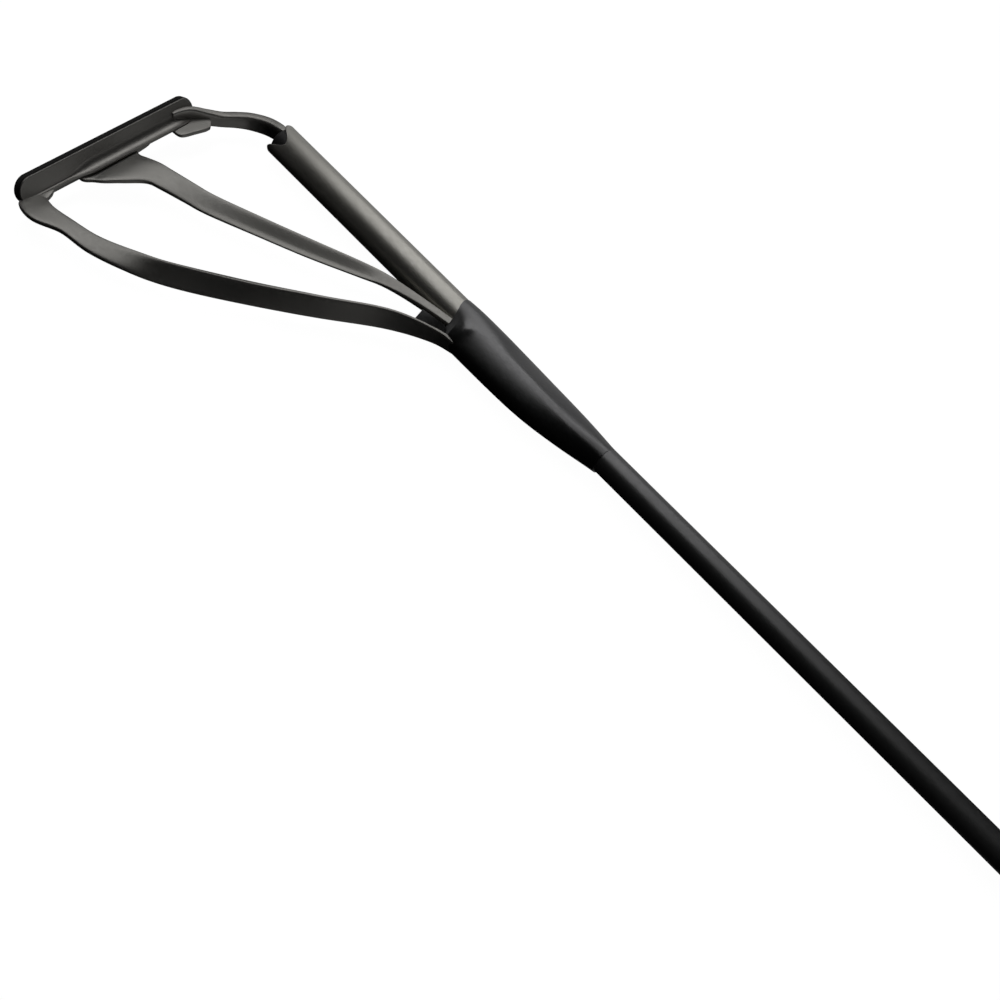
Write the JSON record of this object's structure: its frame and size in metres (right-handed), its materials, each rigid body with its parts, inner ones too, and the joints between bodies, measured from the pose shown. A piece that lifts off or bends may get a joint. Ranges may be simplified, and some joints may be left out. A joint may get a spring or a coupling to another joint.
{
  "type": "single blade push paddle",
  "caption": "Single blade paddle with an open ribbed head, rubber-soled foot bar, moulded neck, telescoping round shaft, cam clamp and palm grip.",
  "frame": {"origin": "on the shaft's axis, in the middle of the bare stretch of the lower shaft", "axes": "+X along the shaft towards the palm grip, +Y towards the spine tube's free side in the head's plane, +Z square to the head's plane, up as the paddle lies"},
  "size_m": [1.5302, 0.3629, 0.0489],
  "materials": {
    "head_moulding": "satin warm dark gray, moulded",
    "spine_finish": "satin warm gray coating",
    "neck_moulding": "satin dark gray, moulded",
    "shaft_finish": "satin black anodised",
    "tread_rubber": "matte black",
    "grip_rubber": "soft matte",
    "black_plastic": "fine moulded grain",
    "washer_plastic": "natural bearing plastic",
    "foam": "closed-cell foam",
    "steel": "stainless",
    "black_steel": "blackened"
  },
  "bodies": {
    "lower": {"foot_bar": "head_moulding", "foot_tread": "tread_rubber", "tread_screws": "steel", "arm_outer": "head_moulding", "rib_middle": "head_moulding", "heel_strap": "head_moulding", "spine_tube": "spine_finish", "tube_end_plug": "black_plastic", "socket_bushes": "black_plastic", "neck_sleeve": "neck_moulding", "neck_screws": "black_steel", "lower_shaft": "shaft_finish", "shaft_foam_plug": "foam", "slide_bush": "black_plastic", "clamp_collar": "black_plastic", "clamp_bolt": "steel", "clamp_nut": "steel", "cam_washer": "washer_plastic", "pivot_pin": "steel"},
    "handle": {"handle_tube": "shaft_finish", "slide_tip": "black_plastic", "handle_end_plug": "black_plastic", "grip_body": "black_plastic", "grip_pad": "grip_rubber", "grip_screw": "steel"},
    "lever": {"cam_lever": "black_plastic"}
  },
  "joints": [
    {"name": "handle_slide", "type": "slide", "parent": "lower", "child": "handle", "axis": [1, 0, 0], "range_m": [-0.12, 0.12]},
    {"name": "lever_pivot", "type": "hinge", "parent": "lower", "child": "lever", "pos_m": [0.295, 0.026, 0.0168], "axis": [-1, 0, 0], "range_deg": [0, 110]}
  ]
}
